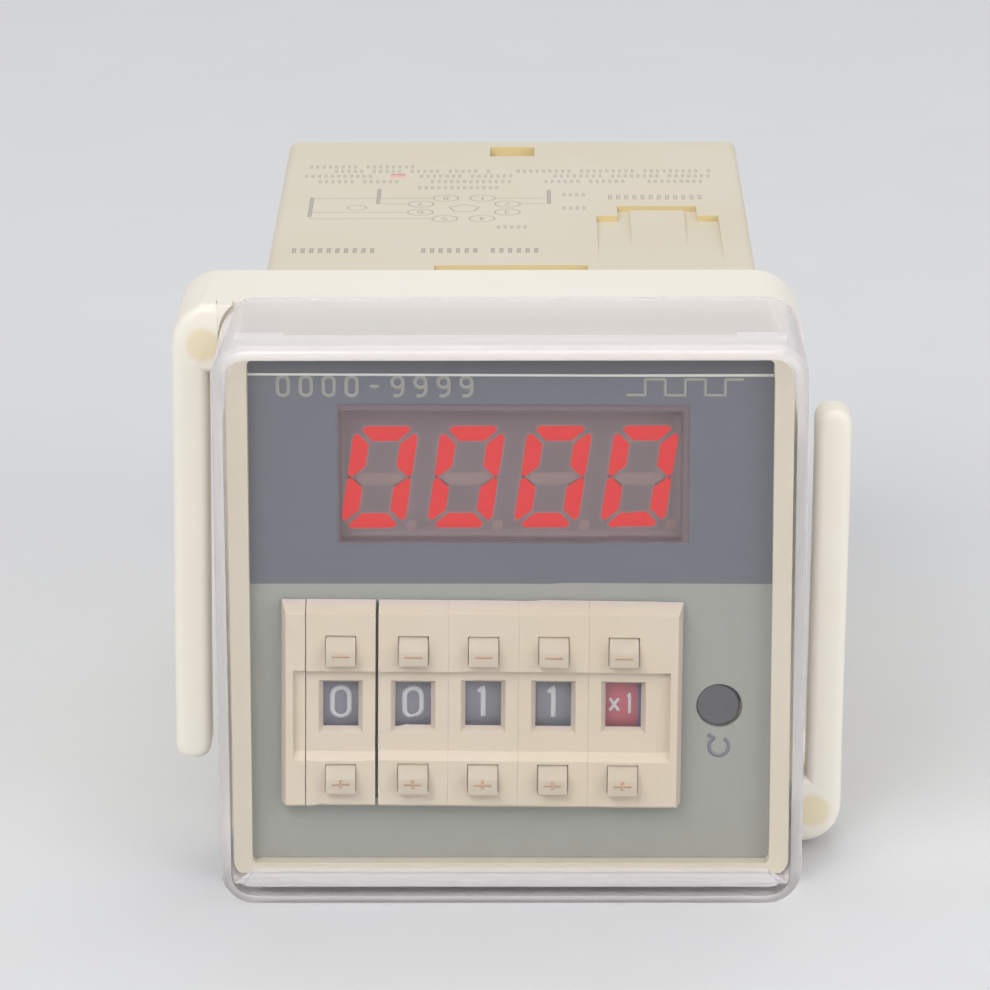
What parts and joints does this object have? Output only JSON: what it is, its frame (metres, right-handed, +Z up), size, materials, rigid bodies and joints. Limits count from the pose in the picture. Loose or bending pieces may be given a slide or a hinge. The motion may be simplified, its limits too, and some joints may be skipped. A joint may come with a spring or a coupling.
{
  "type": "panel counter",
  "caption": "Square plug-in preset counter with a red numeric display, push-wheel setting, clear front cover, mounting bracket and octal plug.",
  "frame": {"origin": "on the surface it stands on, below the middle of its bounding box", "axes": "+X to the right seen from the front, +Y from the front into the panel, +Z up"},
  "size_m": [0.0592, 0.1, 0.051],
  "materials": {
    "case_plastic": "fine satin",
    "bezel_plastic": "fine satin",
    "bracket_plastic": "satin",
    "clear_plastic": "clear polycarbonate, polished",
    "face_print": "satin print, blue-grey above and green-grey below",
    "filter_tint": "smoky tinted pane",
    "led_body": "satin",
    "thumbwheel_plastic": "satin",
    "key_plastic": "satin",
    "wheel_grey": "matt",
    "wheel_red": "matt",
    "reset_rubber": "matt",
    "board": "coated",
    "base_plastic": "satin",
    "pin_metal": "nickel plated",
    "core_steel": "varnished",
    "relay_case": "gloss",
    "black_plastic": "satin"
  },
  "bodies": {
    "body": {"capacitor": "black_plastic", "case": "case_plastic", "display_board": "board", "display_filter": "filter_tint", "end_plate_left": "thumbwheel_plastic", "end_plate_right": "thumbwheel_plastic", "face_plate": "face_print", "front_bezel": "bezel_plastic", "led_display": "led_body", "main_board": "board", "octal_base": "base_plastic", "pin_1": "pin_metal", "pin_2": "pin_metal", "pin_3": "pin_metal", "pin_4": "pin_metal", "pin_5": "pin_metal", "pin_6": "pin_metal", "pin_7": "pin_metal", "pin_8": "pin_metal", "relay": "relay_case", "reset_switch": "black_plastic", "switch_board": "board", "thumbwheel_housing_1": "thumbwheel_plastic", "thumbwheel_housing_2": "thumbwheel_plastic", "thumbwheel_housing_3": "thumbwheel_plastic", "thumbwheel_housing_4": "thumbwheel_plastic", "thumbwheel_housing_5": "thumbwheel_plastic", "transformer": "core_steel"},
    "cover": {"clear_cover": "clear_plastic"},
    "bracket": {"mounting_bracket": "bracket_plastic"},
    "wheel_1": {"number_wheel_1": "wheel_grey"},
    "minus_key_1": {"minus_button_1": "key_plastic"},
    "plus_key_1": {"plus_button_1": "key_plastic"},
    "wheel_2": {"number_wheel_2": "wheel_grey"},
    "minus_key_2": {"minus_button_2": "key_plastic"},
    "plus_key_2": {"plus_button_2": "key_plastic"},
    "wheel_3": {"number_wheel_3": "wheel_grey"},
    "minus_key_3": {"minus_button_3": "key_plastic"},
    "plus_key_3": {"plus_button_3": "key_plastic"},
    "wheel_4": {"number_wheel_4": "wheel_grey"},
    "minus_key_4": {"minus_button_4": "key_plastic"},
    "plus_key_4": {"plus_button_4": "key_plastic"},
    "wheel_5": {"number_wheel_5": "wheel_red"},
    "minus_key_5": {"minus_button_5": "key_plastic"},
    "plus_key_5": {"plus_button_5": "key_plastic"},
    "reset": {"reset_button": "reset_rubber"}
  },
  "joints": [
    {"name": "cover_pull", "type": "slide", "parent": "body", "child": "cover", "axis": [0, -1, 0], "range_m": [0, 0.018]},
    {"name": "bracket_slide", "type": "slide", "parent": "body", "child": "bracket", "axis": [0, 1, 0], "range_m": [0, 0.059]},
    {"name": "wheel_turn_1", "type": "hinge", "parent": "body", "child": "wheel_1", "pos_m": [-0.01461, -0.0376, 0.01726], "axis": [1, 0, -0.0096], "continuous": true},
    {"name": "minus_push_1", "type": "slide", "parent": "body", "child": "minus_key_1", "axis": [0, 1, 0], "range_m": [0, 0.0008], "stiffness_N_per_m": 300, "springref_m": -0.001},
    {"name": "plus_push_1", "type": "slide", "parent": "body", "child": "plus_key_1", "axis": [0, 1, 0], "range_m": [0, 0.0008], "stiffness_N_per_m": 300, "springref_m": -0.001},
    {"name": "wheel_turn_2", "type": "hinge", "parent": "body", "child": "wheel_2", "pos_m": [-0.00837, -0.0376, 0.0172], "axis": [1, 0, -0.0096], "continuous": true},
    {"name": "minus_push_2", "type": "slide", "parent": "body", "child": "minus_key_2", "axis": [0, 1, 0], "range_m": [0, 0.0008], "stiffness_N_per_m": 300, "springref_m": -0.001},
    {"name": "plus_push_2", "type": "slide", "parent": "body", "child": "plus_key_2", "axis": [0, 1, 0], "range_m": [0, 0.0008], "stiffness_N_per_m": 300, "springref_m": -0.001},
    {"name": "wheel_turn_3", "type": "hinge", "parent": "body", "child": "wheel_3", "pos_m": [-0.00235, -0.0376, 0.01715], "axis": [1, 0, -0.0096], "continuous": true},
    {"name": "minus_push_3", "type": "slide", "parent": "body", "child": "minus_key_3", "axis": [0, 1, 0], "range_m": [0, 0.0008], "stiffness_N_per_m": 300, "springref_m": -0.001},
    {"name": "plus_push_3", "type": "slide", "parent": "body", "child": "plus_key_3", "axis": [0, 1, 0], "range_m": [0, 0.0008], "stiffness_N_per_m": 300, "springref_m": -0.001},
    {"name": "wheel_turn_4", "type": "hinge", "parent": "body", "child": "wheel_4", "pos_m": [0.00367, -0.0376, 0.01709], "axis": [1, 0, -0.0096], "continuous": true},
    {"name": "minus_push_4", "type": "slide", "parent": "body", "child": "minus_key_4", "axis": [0, 1, 0], "range_m": [0, 0.0008], "stiffness_N_per_m": 300, "springref_m": -0.001},
    {"name": "plus_push_4", "type": "slide", "parent": "body", "child": "plus_key_4", "axis": [0, 1, 0], "range_m": [0, 0.0008], "stiffness_N_per_m": 300, "springref_m": -0.001},
    {"name": "wheel_turn_5", "type": "hinge", "parent": "body", "child": "wheel_5", "pos_m": [0.00969, -0.0376, 0.01703], "axis": [1, 0, -0.0096], "continuous": true},
    {"name": "minus_push_5", "type": "slide", "parent": "body", "child": "minus_key_5", "axis": [0, 1, 0], "range_m": [0, 0.0008], "stiffness_N_per_m": 300, "springref_m": -0.001},
    {"name": "plus_push_5", "type": "slide", "parent": "body", "child": "plus_key_5", "axis": [0, 1, 0], "range_m": [0, 0.0008], "stiffness_N_per_m": 300, "springref_m": -0.001},
    {"name": "reset_push", "type": "slide", "parent": "body", "child": "reset", "axis": [0, 1, 0], "range_m": [0, 0.0005], "stiffness_N_per_m": 600, "springref_m": -0.001}
  ]
}
